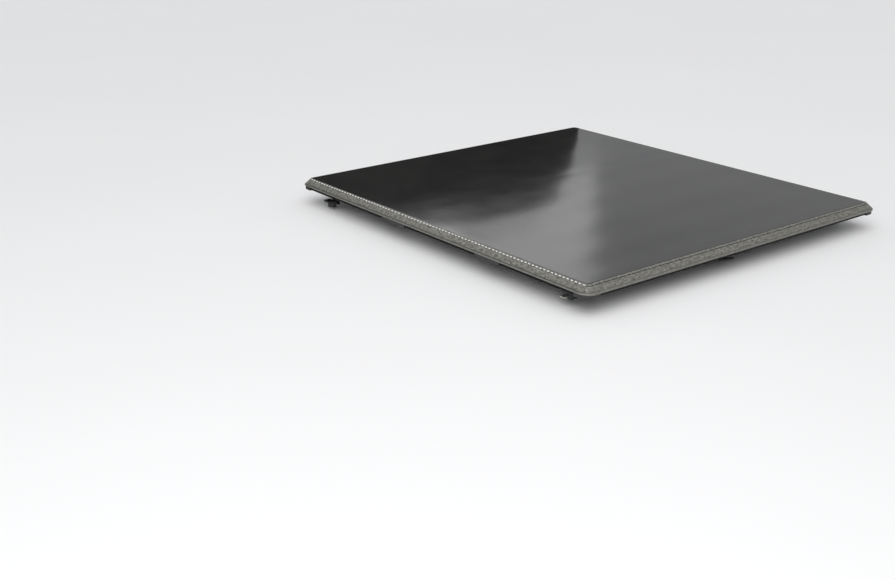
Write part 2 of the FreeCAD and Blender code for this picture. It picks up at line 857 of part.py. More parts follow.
def pull_rod(name, at, turn):
    """A rod from a bolt's inner end to a slotted eye on the crank, with a jog on its way."""
    body = new_body(name, at=at, turn=turn)
    aside = "-1 * crank_throw * cos(crank_lead)"
    pin = "cover_width / 2 - bolt_inner - crank_throw * sin(crank_lead)"
    end = f"{pin} - eye_half"
    path = new_sketch(body, "XY_Plane")
    stops = [("0", "0"), ("rod_jog_start", "0"), ("rod_jog_end", aside), (end, aside)]
    add_loop(path, stops, closed=False)
    section = new_sketch(body, "YZ_Plane")
    add_circle(section, "0", "0", "rod_radius")
    doc.recompute()
    swept = body.newObject("PartDesign::AdditivePipe", f"{name}_sweep")
    swept.Profile = section
    swept.Spine = (path, ["Edge1", "Edge2", "Edge3"])
    swept.Transition = "Right corner"
    middle = "-1 * crank_throw * (1 + cos(crank_lead)) / 2"
    eye = new_sketch(body, "XY_Plane")
    outside = rectangle(
        end, f"{pin} + eye_half", f"{middle} - eye_half", f"{middle} + eye_half"
    )
    wide = "crank_pin + pin_play"
    reach = f"{wide} + crank_throw * (1 - cos(crank_lead)) / 2 + pin_play"
    slot = rectangle(
        f"{pin} - ({wide})", f"{pin} + {wide}", f"{middle} - ({reach})", f"{middle} + {reach}"
    )
    add_loop(eye, outside)
    add_loop(eye, slot)
    pad(body, eye, "eye_thick", middle=True)
    nodes[name] = body


def handle():
    """The release lever: a crank disc with two pins, an arm and a crossbar to hold."""
    body = new_body("release_handle", at=("0", LATCH, "0"), turn="-1 * crank_lead")
    disc = new_sketch(body, "XY_Plane", raised="crank_low")
    add_circle(disc, "0", "0", "crank_disc")
    pad(body, disc, "crank_thick")
    half = "lever_width / 2"
    arm = new_sketch(body, "XY_Plane", raised="crank_low")
    add_loop(arm, rectangle(f"-1 * {half}", half, "-1 * lever_length", "-1 * pivot_head"))
    pad(body, arm, "crank_thick")
    grip = new_sketch(body, "XY_Plane", raised="crank_low")
    far = "-1 * (lever_length + grip_width / 2)"
    near = "-1 * (lever_length - grip_width / 2)"
    add_loop(grip, rectangle("-1 * grip_half", "grip_half", far, near))
    pad(body, grip, "crank_thick * 2")
    pins = new_sketch(body, "XY_Plane", raised="crank_low")
    add_circle(pins, "0", "crank_throw", "crank_pin")
    add_circle(pins, "0", "-1 * crank_throw", "crank_pin")
    pad(body, pins, "crank_pin_top - crank_low")
    bore = new_sketch(body, "XY_Plane")
    add_circle(bore, "0", "0", "pivot_radius + thread_play")
    pocket(body, bore)
    nodes["release_handle"] = body


def handle_bracket():
    """A bent strap that hangs the crank from the tail rail, with its fixed pivot."""
    body = new_body("handle_bracket", at=("0", REAR, "0"))
    sketch = new_sketch(body, "YZ_Plane")
    upper = "hem_height - bracket_thick"
    lower = "bracket_low + bracket_thick"
    add_loop(
        sketch,
        [
            ("bracket_outer", "hem_height"),
            ("bracket_web + bracket_thick", "hem_height"),
            ("bracket_web + bracket_thick", lower),
            ("bracket_inner", lower),
            ("bracket_inner", "bracket_low"),
            ("bracket_web", "bracket_low"),
            ("bracket_web", upper),
            ("bracket_outer", upper),
        ],
    )
    pad(body, sketch, "bracket_width", middle=True)
    holes = [("bracket_screw_spread", "screw_inset"), ("-1 * bracket_screw_spread", "screw_inset")]
    screw_holes(body, holes)
    for radius, length in (
        ("pivot_radius", f"{lower} - latch_low"),
        ("pivot_head", "crank_low - latch_low - bolt_play"),
    ):
        pin = new_sketch(body, "XY_Plane", raised="latch_low")
        add_circle(pin, "0", "latch_from_rear", radius)
        pad(body, pin, length)
    nodes["handle_bracket"] = body


front_panel()
mid_panel()
rear_panel()
spacer_bar()
front_clamps()
rear_latches()
doc.recompute()

for thing in doc.Objects:
    if {"Invalid", "Error"} & set(thing.State):
        raise RuntimeError(f"{thing.Name} failed: {thing.State}")
for node, thing in nodes.items():
    if thing.Shape.isNull() or not thing.Shape.isValid():
        raise RuntimeError(f"{node} has no valid shape")

os.makedirs("parts", exist_ok=True)
for node, thing in nodes.items():
    thing.Shape.exportStep(f"parts/{node}.step")
print(len(nodes), "nodes")
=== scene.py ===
"""Looks for a soft folding tonneau cover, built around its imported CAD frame.

The skin is sewn from a smooth top sheet and a sloping grained border with a rolled hem. Every
length is in metres, in the frame of the CAD model: +X to the truck's right, +Y forward, +Z up.
"""

import json
import math

import bmesh
import bpy
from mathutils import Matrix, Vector, noise


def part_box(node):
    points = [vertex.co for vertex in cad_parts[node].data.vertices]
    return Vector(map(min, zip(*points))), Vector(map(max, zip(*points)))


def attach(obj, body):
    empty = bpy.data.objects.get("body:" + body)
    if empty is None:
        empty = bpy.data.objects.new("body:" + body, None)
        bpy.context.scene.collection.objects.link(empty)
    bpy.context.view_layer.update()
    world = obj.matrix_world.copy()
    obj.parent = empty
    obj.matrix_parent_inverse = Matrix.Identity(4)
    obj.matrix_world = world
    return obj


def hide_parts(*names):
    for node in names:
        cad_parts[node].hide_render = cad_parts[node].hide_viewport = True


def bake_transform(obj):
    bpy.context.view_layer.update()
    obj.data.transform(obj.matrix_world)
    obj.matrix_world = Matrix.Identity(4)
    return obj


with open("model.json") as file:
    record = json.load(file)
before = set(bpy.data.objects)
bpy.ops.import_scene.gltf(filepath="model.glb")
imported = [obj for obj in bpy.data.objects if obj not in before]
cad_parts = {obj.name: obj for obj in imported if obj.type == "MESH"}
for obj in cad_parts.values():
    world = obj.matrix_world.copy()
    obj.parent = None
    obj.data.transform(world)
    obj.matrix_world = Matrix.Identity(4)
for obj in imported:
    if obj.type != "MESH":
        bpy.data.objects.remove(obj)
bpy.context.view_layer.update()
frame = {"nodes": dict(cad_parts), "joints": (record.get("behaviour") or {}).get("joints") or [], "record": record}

# ------------------------------------------------------------------ places read from the frame

joints = {joint["name"]: joint for joint in frame["joints"]}
HALF_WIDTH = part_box("mid_border_right")[1].x
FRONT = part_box("header_border")[1].y
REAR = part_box("tail_border")[0].y
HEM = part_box("tail_border")[0].z
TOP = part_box("front_skin")[1].z
CORNER = HALF_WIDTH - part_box("tail_border")[1].x
FRONT_FOLD = joints["front_fold_lower"]["pos_m"][1]
SPACER_FOLD = joints["front_fold_upper"]["pos_m"][1]
REAR_FOLD = joints["rear_fold"]["pos_m"][1]
MID_SPACER = (FRONT_FOLD + SPACER_FOLD) / 2
MID_PANEL = (SPACER_FOLD + REAR_FOLD) / 2

# ------------------------------------------------------------------ sizes of the sewn skin

SHEET_THICK = 0.0011
BORDER_THICK = 0.0008
SHEET_EDGE = 0.0345
BEND_HALF = 0.0025
SLIT_HALF = 0.0005
SHEET_STEP = 0.012
BORDER_STEP = 0.005
ARC_STEPS = 16
SHARP = math.radians(40)


# ------------------------------------------------------------------ mesh helpers


def even(start, end, step):
    """Numbers from start to end, evenly spaced and about step apart."""
    count = max(1, round(abs(end - start) / step))
    return [start + (end - start) * i / count for i in range(count + 1)]


def smooth(t):
    t = min(1.0, max(0.0, t))
    return t * t * (3 - 2 * t)


class Surface:
    """Points shared by place, the faces between them, and each point's place on the cloth."""

    def __init__(self):
        self.points = []
        self.cloth = []
        self.faces = []
        self.known = {}

    def point(self, co, cloth=None):
        key = tuple(round(c * 1e6) for c in co)
        if key not in self.known:
            self.known[key] = len(self.points)
            self.points.append(tuple(co))
            self.cloth.append(tuple(cloth) if cloth else (co[0], co[1], 0.0))
        return self.known[key]

    def face(self, ids):
        """Adds a face, leaving out points that fell together."""
        kept = [n for i, n in enumerate(ids) if n != ids[i - 1]]
        if len(set(kept)) > 2:
            self.faces.append(kept)

    def loft(self, rows, cloth=None, closed=False):
        """Faces between neighbouring rows of points. closed joins each row's two ends."""
        ids = [
            [self.point(co, cloth[r][i] if cloth else None) for i, co in enumerate(row)]
            for r, row in enumerate(rows)
        ]
        for a, b in zip(ids, ids[1:]):
            for i in range(len(a) - (0 if closed else 1)):
                j = (i + 1) % len(a)
                self.face((a[i], a[j], b[j], b[i]))
        return ids

    def capped_loft(self, rows):
        """A loft of closed rows with a face over each end."""
        ids = self.loft(rows, closed=True)
        self.face(ids[0][::-1])
        self.face(ids[-1])

    def build(self, name, materials):
        mesh = bpy.data.meshes.new(name)
        mesh.from_pydata(self.points, [], self.faces)
        for look in materials:
            mesh.materials.append(look)
        place = mesh.attributes.new("cloth", "FLOAT_VECTOR", "POINT")
        place.data.foreach_set("vector", [c for spot in self.cloth for c in spot])
        return add_object(name, mesh)


def add_object(name, data):
    obj = bpy.data.objects.new(name, data)
    bpy.context.scene.collection.objects.link(obj)
    return obj


def finish_shade(obj):
    """Smooth shading that keeps the edges sharper than SHARP."""
    obj.data.polygons.foreach_set("use_smooth", [True] * len(obj.data.polygons))
    obj.data.set_sharp_from_angle(angle=SHARP)
    return obj


def face_out(obj, towards):
    """Turns all faces over if they look away from towards(centre)."""
    total = sum(face.normal.dot(towards(face.center)) * face.area for face in obj.data.polygons)
    if total < 0:
        obj.data.flip_normals()


def thicken(obj, thickness):
    """Gives a one-layer cloth its thickness inwards. The back takes the second material."""
    solid = obj.modifiers.new("thickness", "SOLIDIFY")
    solid.thickness = thickness
    solid.offset = -1
    solid.material_offset = 1
    solid.material_offset_rim = 0
    baked = bpy.data.meshes.new_from_object(
        obj.evaluated_get(bpy.context.evaluated_depsgraph_get())
    )
    obj.modifiers.clear()
    obj.data = baked
    return finish_shade(obj)


# ------------------------------------------------------------------ the path round the cover
#
# A station is a place on the outer edge of the hem and the direction inwards from it.


def side_path(side, ys):
    return [((side * HALF_WIDTH, y), (-side, 0.0)) for y in ys]


def end_path(end, xs):
    edge = FRONT if end > 0 else REAR
    return [((x, edge), (0.0, -end)) for x in xs]


def corner_path(side, end):
    """Stations round an outer corner, from the side edge to the end edge."""
    middle_x = side * (HALF_WIDTH - CORNER)
    middle_y = FRONT - CORNER if end > 0 else REAR + CORNER
    stations = []
    for i in range(ARC_STEPS + 1):
        angle = math.pi / 2 * i / ARC_STEPS
        out_x, out_y = side * math.cos(angle), end * math.sin(angle)
        spot = (middle_x + CORNER * out_x, middle_y + CORNER * out_y)
        stations.append((spot, (-out_x, -out_y)))
    return stations


def end_panel_path(end, side_ys, xs):
    """Stations of a front or rear panel: up the left side, round the end and back down."""
    left = side_path(-1, side_ys)
    right = side_path(1, side_ys[::-1])
    return (
        left
        + corner_path(-1, end)[1:]
        + end_path(end, xs)[1:]
        + corner_path(1, end)[::-1][1:]
        + right[1:]
    )


def inward(station, inset, height):
    (x, y), (nx, ny) = station
    return (x + nx * inset, y + ny * inset, height)


def resample(points, pitch):
    """(place, tangent) about every pitch along a line of points, starting half a pitch in."""
    places = []
    total = sum((Vector(b) - Vector(a)).length for a, b in zip(points, points[1:]))
    pitch = total / math.floor(total / pitch)
    target = pitch / 2
    travelled = 0.0
    for a, b in zip(points, points[1:]):
        a, b = Vector(a), Vector(b)
        length = (b - a).length
        while length > 0 and target <= travelled + length:
            places.append((a.lerp(b, (target - travelled) / length), (b - a) / length))
            target += pitch
        travelled += length
    return places


# ------------------------------------------------------------------ how the top sheet lies

RAIL_EDGE = 0.050
SUPPORTS = [
    FRONT - RAIL_EDGE,
    (FRONT + FRONT_FOLD) / 2,
    FRONT_FOLD,
    SPACER_FOLD,
    MID_PANEL,
    REAR_FOLD,
    (REAR_FOLD + REAR) / 2,
    REAR + RAIL_EDGE,
]
PROUD = 0.0003
ROLL = [
    (SHEET_EDGE, -0.0009),
    (SHEET_EDGE - 0.0002, -0.0004),
    (SHEET_EDGE + 0.0001, 0.0),
    (SHEET_EDGE + 0.0008, 0.0002),
    (SHEET_EDGE + 0.0018, PROUD),
]
SHEET_INSETS = [0.038, 0.042, CORNER]
SAG = 0.0006
RIPPLE = 0.00025
CREASE_DEPTH = 0.00006
CREASE_WIDTH = 0.003


def top_height(x, y):
    """The sheet's height: tight over rails and bows, and a little lower between them."""
    inset = min(HALF_WIDTH - abs(x), FRONT - y, y - REAR)
    away = smooth((inset - ROLL[-1][0]) / 0.10)
    sag = 0.0
    for high, low in zip(SUPPORTS, SUPPORTS[1:]):
        if low <= y <= high:
            span = high - low
            sag = math.sin(math.pi * (y - low) / span) ** 2 * min(1.0, span / 0.25)
    ripple = noise.noise(Vector((x * 2.7, y * 4.1, 0.7)))
    ripple += 0.4 * noise.noise(Vector((x * 7.3, y * 9.1, 3.1)))
    crease = sum(
        math.exp(-(((y - fold) / CREASE_WIDTH) ** 2))
        for fold in (FRONT_FOLD, SPACER_FOLD, REAR_FOLD)
    )
    return TOP + PROUD - away * (SAG * sag - RIPPLE * (ripple - 0.6)) - CREASE_DEPTH * crease


def sheet_row(station):
    """The sheet's points at a station, from its sewn edge over the crest to the corner radius."""
    row = [inward(station, inset, TOP + drop) for inset, drop in ROLL]
    for inset in SHEET_INSETS:
        x, y = inward(station, inset, 0)[:2]
        row.append((x, y, top_height(x, y)))
    return row


def sheet_ys(low, high, folds):
    """Crossings from low to high, close together over each fold."""
    ys = {round(y, 6) for y in even(low, high, SHEET_STEP)}
    for fold in folds:
        ys = {y for y in ys if abs(y - fold) > 2.5 * BEND_HALF}
        ys |= {round(fold + BEND_HALF * i / 5, 6) for i in range(-10, 11)}
    return sorted(ys)


def top_sheet(name, low, high, folds=(), end=0):
    """One length of the top sheet. end says that it runs round the front or rear corners."""
    surface = Surface()
    inner = HALF_WIDTH - CORNER
    xs = even(-inner, inner, SHEET_STEP)
    ys = sheet_ys(low, high, folds)
    if end:
        side_ys = ys if end > 0 else ys[::-1]
        paths = [end_panel_path(end, side_ys, xs)]
    else:
        paths = [side_path(-1, ys), side_path(1, ys)]
    for path in paths:
        surface.loft([sheet_row(station) for station in path])
    surface.loft([[(x, y, top_height(x, y)) for x in xs] for y in ys])
    obj = surface.build(name, [vinyl_top, backing])
    for face in obj.data.polygons:
        if face.normal.z < 0:
            face.flip()
    return thicken(obj, SHEET_THICK)


# ------------------------------------------------------------------ the sewn border

CROWN = 0.0006
SLOPE_LOW = (0.0072, HEM + 0.0108)
SLOPE_HIGH = (0.0300, TOP - 0.0010)
SLOPE_LEAN = math.atan2(SLOPE_HIGH[1] - SLOPE_LOW[1], SLOPE_HIGH[0] - SLOPE_LOW[0])
HEM_ROLL = [
    (0.0066, 0.0022),
    (0.0052, 0.0006),
    (0.0034, -0.0001),
    (0.0016, 0.0001),
    (0.0004, 0.0012),
    (-0.0001, 0.0028),
    (0.0003, 0.0044),
    (0.0010, 0.0054),
    (0.0018, 0.0062),
    (0.0027, 0.0070),
]
HEM_GROOVE = [
    (0.0030, 0.0073, 0.2),
    (0.0035, 0.0077, 0.7),
    (0.0048, 0.0088, 0.8),
    (0.0055, 0.0094, 0.4),
]
HEM_HANG = 0.0022
HEM_HANG_TOP = 0.0054
SEAM_EDGE = [
    (0.0232, -0.2, 1),
    (0.0239, -1.0, 1),
    (0.0251, -1.3, 1),
    (0.0253, -0.3, 1),
    (0.0256, 0.5, 0),
    (0.0268, 0.6, 0),
    (0.0277, 0.4, 0),
    (0.0288, 0.3, 0),
]
CREST = [
    (0.0296, -0.0013),
    (0.0308, -0.0008),
    (0.0325, -0.0006),
    (0.0350, -0.0007),
    (0.0370, -0.0014),
]
MM = 0.001
FAR_BELOW = Vector((0, 0, -1))


def on_slope(inset, lift=0.0):
    """The slope's (inset, height) at an inset, lifted off it at right angles."""
    t = (inset - SLOPE_LOW[0]) / (SLOPE_HIGH[0] - SLOPE_LOW[0])
    height = SLOPE_LOW[1] + (SLOPE_HIGH[1] - SLOPE_LOW[1]) * t + CROWN * math.sin(math.pi * t)
    return inset - lift * math.sin(SLOPE_LEAN), height + lift * math.cos(SLOPE_LEAN)


def border_profile(end_share=0.0):
    """(inset, height) from the hem's inner lip, round its roll and up the slope to the crest.
    end_share is 0 along a side and 1 along an end: pulled tight across the ends, the hem's
    groove is shallower there and the seam's groove deeper."""
    hem_depth = MM * (1 - 0.3 * end_share)
    seam_depth = MM * (0.35 + 0.85 * end_share)
    hang = HEM_HANG * end_share
    roll = [
        (inset, HEM + height - hang * max(0.0, 1 - height / HEM_HANG_TOP))
        for inset, height in HEM_ROLL
    ]
    groove = [
        (inset + depth * hem_depth * 0.6, HEM + height - depth * hem_depth * 0.8)
        for inset, height, depth in HEM_GROOVE
    ]
    slope = [on_slope(inset) for inset in even(SLOPE_LOW[0], SEAM_EDGE[0][0] - 0.001, 0.003)]
    seam = [
        on_slope(inset, lift * (seam_depth if cut else MM)) for inset, lift, cut in SEAM_EDGE
    ]
    crest = [(inset, TOP + drop) for inset, drop in CREST]
    return roll + groove + slope + seam + crest


def run_lengths(points):
    lengths = [0.0]
    for a, b in zip(points, points[1:]):
        lengths.append(lengths[-1] + math.dist(a, b))
    return lengths


ACROSS = run_lengths(border_profile())
LIP_END = (ACROSS[len(HEM_ROLL) + 1] + ACROSS[len(HEM_ROLL) + 2]) / 2
SEAM_LINE = ACROSS[2 - len(SEAM_EDGE) - len(CREST)]
CREST_LINE = ACROSS[1 - len(CREST)]


def border(name, path):
    """A run of the border along a path of stations."""
    rows, cloth = [], []
    travelled = 0.0
    for i, station in enumerate(path):
        if i:
            travelled += math.dist(station[0], path[i - 1][0])
        profile = border_profile(abs(station[1][1]))
        rows.append([inward(station, inset, height) for inset, height in profile])
        cloth.append([(travelled, t, abs(station[1][1])) for t in ACROSS])
    surface = Surface()
    surface.loft(rows, cloth)
    obj = surface.build(name, [vinyl_border, backing])
    face_out(obj, lambda centre: centre - FAR_BELOW)
    return thicken(obj, BORDER_THICK)


def thread_row(surface, path, spot, lean, pitch, length, radius):
    """A row of stitches along a path: short threads that rise from the cloth and go back in.
    lean tips them outwards from upright, to match the cloth they lie on. They are thinner
    along the two ends of the cover, where the cloth is pulled tight over them."""
    line = [inward(station, *spot) for station in path]
    for place, tangent in resample(line, pitch):
        out = tangent.cross(Vector((0, 0, 1)))
        if out.dot(place) < 0:
            out.negate()
        wide = radius * (1 - END_TIGHT * abs(out.normalized().y))
        up = (Vector((0, 0, 1)) * math.cos(lean) + out * math.sin(lean)).normalized()
        side = tangent.cross(up)
        rows = []
        for i in range(7):
            t = i / 3 - 1
            centre = place + tangent * (t * length / 2) + up * (wide * (0.5 - 1.1 * t * t))
            width = wide * (1 - 0.55 * t * t)
            row = []
            for n in range(6):
                angle = n * math.pi / 3
                across = side * (width * math.cos(angle))
                row.append(tuple(centre + across + up * (width * 0.5 * math.sin(angle))))
            rows.append(row)
        surface.capped_loft(rows)


STITCH_SPOT = on_slope(0.0268, 0.0007)
STITCH_PITCH = 0.020
STITCH_LENGTH = 0.0125
THREAD = 0.0021
END_TIGHT = 0.9
HEM_STITCH_SPOT = on_slope(0.0092, 0.0001)
HEM_STITCH_PITCH = 0.006
HEM_STITCH_LENGTH = 0.0040
HEM_THREAD = 0.0004


def seam_stitches(name, paths):
    surface = Surface()
    for path in paths:
        thread_row(surface, path, STITCH_SPOT, SLOPE_LEAN, STITCH_PITCH, STITCH_LENGTH, THREAD)
    return finish_shade(surface.build(name, [thread]))


def hem_stitches(name, paths):
    surface = Surface()
    for path in paths:
        thread_row(
            surface,
            path,
            HEM_STITCH_SPOT,
            SLOPE_LEAN,
            HEM_STITCH_PITCH,
            HEM_STITCH_LENGTH,
            HEM_THREAD,
        )
    return finish_shade(surface.build(name, [dark_thread]))


# ------------------------------------------------------------------ rubber seals

SEAL_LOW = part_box("header_seal")[0].z
SEAL_BACK = HEM
SEAL_NEAR = 0.008
SEAL_FAR = 0.026
FLANGE_THICK = 0.0028
FLANGE_LEDGE = 0.0012
BULB_WALL = 0.0022
BULB_STEPS = 16
SEAL_STEP = 0.05


def seal_section():
    """(inset, height) loops of a D-shaped bulb seal: its outside, and its hollow."""
    middle = (SEAL_NEAR + SEAL_FAR) / 2
    half = (SEAL_FAR - SEAL_NEAR) / 2
    flange = SEAL_BACK - FLANGE_THICK
    outer_half = half - FLANGE_LEDGE
    inner_half = outer_half - BULB_WALL
    drop = flange - SEAL_LOW
    outer, inner = [], []
    for i in range(BULB_STEPS + 1):
        angle = math.pi * i / BULB_STEPS
        across, down = math.cos(angle), math.sin(angle)
        outer.append((middle - outer_half * across, flange - drop * down**0.8))
        height = flange - 0.0002 - (drop - BULB_WALL) * down**0.9
        inner.append((middle - inner_half * across, height))
    outer += [(SEAL_FAR, flange), (SEAL_FAR, SEAL_BACK)]
    outer += [(SEAL_NEAR, SEAL_BACK), (SEAL_NEAR, flange)]
    inner += [(middle + f * inner_half, flange + 0.0006) for f in (0.9, 0.4, -0.4, -0.9)]
    return outer, inner


def seal_run(surface, path):
    outer, inner = seal_section()
    cloth_at = 0.0
    outside, inside, cloth = [], [], []
    for i, station in enumerate(path):
        if i:
            cloth_at += math.dist(station[0], path[i - 1][0])
        outside.append([inward(station, inset, height) for inset, height in outer])
        inside.append([inward(station, inset, height) for inset, height in inner])
        cloth.append([(cloth_at, n * 0.002, 2.0) for n in range(len(outer))])
    out_ids = surface.loft(outside, cloth, closed=True)
    in_ids = surface.loft(inside, cloth, closed=True)
    for end in (0, -1):
        for i in range(len(outer)):
            j = (i + 1) % len(outer)
            surface.face((out_ids[end][i], out_ids[end][j], in_ids[end][j], in_ids[end][i]))


def seal(name, *paths):
    surface = Surface()
    for path in paths:
        seal_run(surface, path)
    obj = surface.build(name, [rubber])
    orient(obj)
    return finish_shade(obj)


def orient(obj):
    """Makes every face of a closed mesh look outwards."""
    work = bmesh.new()
    work.from_mesh(obj.data)
    bmesh.ops.recalc_face_normals(work, faces=work.faces)
    work.to_mesh(obj.data)
    work.free()


# ------------------------------------------------------------------ looks


class Look:
    """A material and short ways to add nodes to it."""

    def __init__(self, name, color, roughness, **constants):
        self.material = bpy.data.materials.new(name)
        self.material.use_nodes = True
        self.tree = self.material.node_tree
        self.shader = self.tree.nodes["Principled BSDF"]
        self.shader.inputs["Base Color"].default_value = (*color, 1)
        self.shader.inputs["Roughness"].default_value = roughness
        for socket, value in constants.items():
            self.shader.inputs[socket.replace("_", " ")].default_value = value

    def add(self, kind, inputs=None, out=0, **settings):
        """Adds a node and returns one of its outputs. Inputs are constants or outputs."""
        node = self.tree.nodes.new("ShaderNode" + kind)
        for key, value in settings.items():
            setattr(node, key, value)
        for key, value in (inputs or {}).items():
            if isinstance(value, bpy.types.NodeSocket):
                self.tree.links.new(value, node.inputs[key])
            else:
                node.inputs[key].default_value = value
        return node.outputs[out]

    def place(self):
        return self.add("TexCoord", out="Object")

    def cloth(self):
        return self.add("Attribute", out="Vector", attribute_name="cloth")

    def stretch(self, vector, scale, turn=(0, 0, 0)):
        return self.add("Mapping", {"Vector": vector, "Scale": scale, "Rotation": turn})

    def noise(self, vector, scale, detail=2.0, roughness=0.5):
        return self.add(
            "TexNoise",
            {"Vector": vector, "Scale": scale, "Detail": detail, "Roughness": roughness},
        )

    def remap(self, value, low, high, to_low=0.0, to_high=1.0):
        inputs = {0: value, 1: low, 2: high, 3: to_low, 4: to_high}
        return self.add("MapRange", inputs)

    def near(self, value, middle, half):
        """1 at middle, falling to 0 half away from it."""
        away = self.math("ABSOLUTE", self.math("SUBTRACT", value, middle))
        return self.remap(away, half, half * 0.4)

    def math(self, operation, a, b=0.0):
        return self.add("Math", {0: a, 1: b}, operation=operation)

    def blend(self, a, share_a, b, share_b):
        """The sum of two patterns, each by its share."""
        return self.math(
            "ADD", self.math("MULTIPLY", a, share_a), self.math("MULTIPLY", b, share_b)
        )

    def mix(self, factor, dark, light):
        node = self.tree.nodes.new("ShaderNodeMix")
        node.data_type = "RGBA"
        self.tree.links.new(factor, node.inputs["Factor"])
        for socket, value in (("A", dark), ("B", light)):
            target = [s for s in node.inputs if s.name == socket and s.type == "RGBA"][0]
            if isinstance(value, bpy.types.NodeSocket):
                self.tree.links.new(value, target)
            else:
                target.default_value = (*value, 1)
        return [s for s in node.outputs if s.type == "RGBA"][0]

    def color(self, socket):
        self.tree.links.new(socket, self.shader.inputs["Base Color"])

    def roughness(self, socket):
        self.tree.links.new(socket, self.shader.inputs["Roughness"])

    def bump(self, height, strength, distance, under=None):
        inputs = {"Height": height, "Strength": strength, "Distance": distance}
        if under:
            inputs["Normal"] = under
        socket = self.add("Bump", inputs)
        self.tree.links.new(socket, self.shader.inputs["Normal"])
        return socket


def make_vinyl_top():
    look = Look("vinyl_top_look", (0.022, 0.022, 0.022), 0.16, IOR=1.5)
    place = look.place()
    pebble = look.add(
        "TexVoronoi", {"Vector": place, "Scale": 900.0, "Randomness": 1.0}, feature="F1"
    )
    fine = look.noise(place, 2600.0, 2.0)
    dust = look.noise(look.stretch(place, (1.0, 1.6, 1.0)), 2.2, 5.0, 0.55)
    patch = look.noise(place, 7.0, 4.0, 0.6)
    shade = look.remap(look.math("ADD", dust, patch), 0.7, 1.3)
    look.color(look.mix(shade, (0.020, 0.020, 0.020), (0.031, 0.0305, 0.029)))
    look.roughness(look.remap(look.math("ADD", dust, patch), 0.75, 1.25, 0.15, 0.19))
    base = look.bump(pebble, 0.06, 0.0003)
    look.bump(fine, 0.05, 0.0001, base)
    return look.material


def make_vinyl_border():
    look = Look("vinyl_border_look", (0.165, 0.162, 0.142), 0.62)
    cloth = look.cloth()
    across = look.add("SeparateXYZ", {0: cloth}, out="Y")
    end_share = look.add("SeparateXYZ", {0: cloth}, out="Z")
    clumps = look.noise(look.stretch(cloth, (58.0, 120.0, 0.0)), 1.0, 3.0, 0.7)
    strokes = look.noise(look.stretch(cloth, (420.0, 110.0, 0.0)), 1.0, 3.0, 0.62)
    weft = look.noise(look.stretch(cloth, (160.0, 900.0, 0.0)), 1.0, 2.0)
    weave = look.blend(strokes, 0.6, weft, 0.4)
    both = look.blend(clumps, 0.6, weave, 0.4)
    contrast = look.remap(both, 0.40, 0.60)
    body = look.mix(contrast, (0.062, 0.0605, 0.052), (0.238, 0.234, 0.206))
    # Painted highlight: the rolled hem lip is painted lighter, standing in for the highlight on its rounded edge.
    lip = look.remap(across, LIP_END + 0.0006, LIP_END - 0.0006)
    with_painted_lip_highlight = look.mix(look.math("MULTIPLY", lip, 0.5), body, (0.19, 0.187, 0.17))
    # Painted shade: dark lines are painted over the hem groove and the seam groove. The hem line is stronger along
    # the sides and the seam line stronger along the ends.
    hem_shade_weight = look.remap(end_share, 0.0, 1.0, 0.9, 0.45)
    hem_painted_shade = look.math("MULTIPLY", look.near(across, LIP_END - 0.0008, 0.0036), hem_shade_weight)
    seam_shade_weight = look.remap(end_share, 0.0, 1.0, 0.1, 0.9)
    seam_painted_shade = look.math("MULTIPLY", look.near(across, SEAM_LINE, 0.0021), seam_shade_weight)
    rub = look.remap(look.noise(look.stretch(cloth, (45.0, 300.0, 0.0)), 1.0, 5.0, 0.7), 0.52, 0.68)
    worn = look.math("MULTIPLY", rub, look.near(across, CREST_LINE, 0.0045))
    rubbed = look.mix(look.math("MULTIPLY", worn, 0.45), with_painted_lip_highlight, (0.34, 0.335, 0.31))
    # The darker of the two painted groove shades, painted near black over the border's colour.
    groove_painted_shade = look.math("MAXIMUM", hem_painted_shade, seam_painted_shade)
    look.color(look.mix(groove_painted_shade, rubbed, (0.028, 0.028, 0.025)))
    look.roughness(look.remap(contrast, 0.0, 1.0, 0.75, 0.55))
    look.bump(both, 0.6, 0.0006)
    return look.material


def make_backing():
    look = Look("backing_look", (0.05, 0.05, 0.052), 0.85, Sheen_Weight=0.3)
    place = look.place()
    warp = look.add("TexWave", {"Vector": place, "Scale": 260.0}, bands_direction="X")
    weft = look.add("TexWave", {"Vector": place, "Scale": 260.0}, bands_direction="Y")
    weave = look.math("MULTIPLY", warp, weft)
    fuzz = look.noise(place, 900.0, 3.0)
    shade = look.blend(weave, 0.6, fuzz, 0.4)
    look.color(look.mix(shade, (0.028, 0.028, 0.03), (0.11, 0.11, 0.112)))
    look.bump(weave, 0.6, 0.0006)
    return look.material


def make_thread(name, dark, light):
    look = Look(name, light, 0.55, Sheen_Weight=0.4)
    place = look.place()
    twist = look.add(
        "TexWave",
        {"Vector": look.stretch(place, (1, 1, 1), (0.6, 0.6, 0.8)), "Scale": 800.0},
    )
    look.color(look.mix(twist, dark, light))
    look.bump(twist, 0.5, 0.0003)
    return look.material


def make_rubber():
    look = Look("seal_rubber_look", (0.01, 0.01, 0.01), 0.8, Specular_IOR_Level=0.15)
    place = look.place()
    dust = look.noise(place, 60.0, 5.0, 0.6)
    fine = look.noise(place, 1500.0, 2.0)
    dusty = look.remap(dust, 0.4, 0.75)
    look.color(look.mix(dusty, (0.006, 0.006, 0.006), (0.016, 0.0155, 0.0145)))
    look.roughness(look.remap(dust, 0.3, 0.7, 0.7, 0.9))
    look.bump(fine, 0.35, 0.0003)
    return look.material


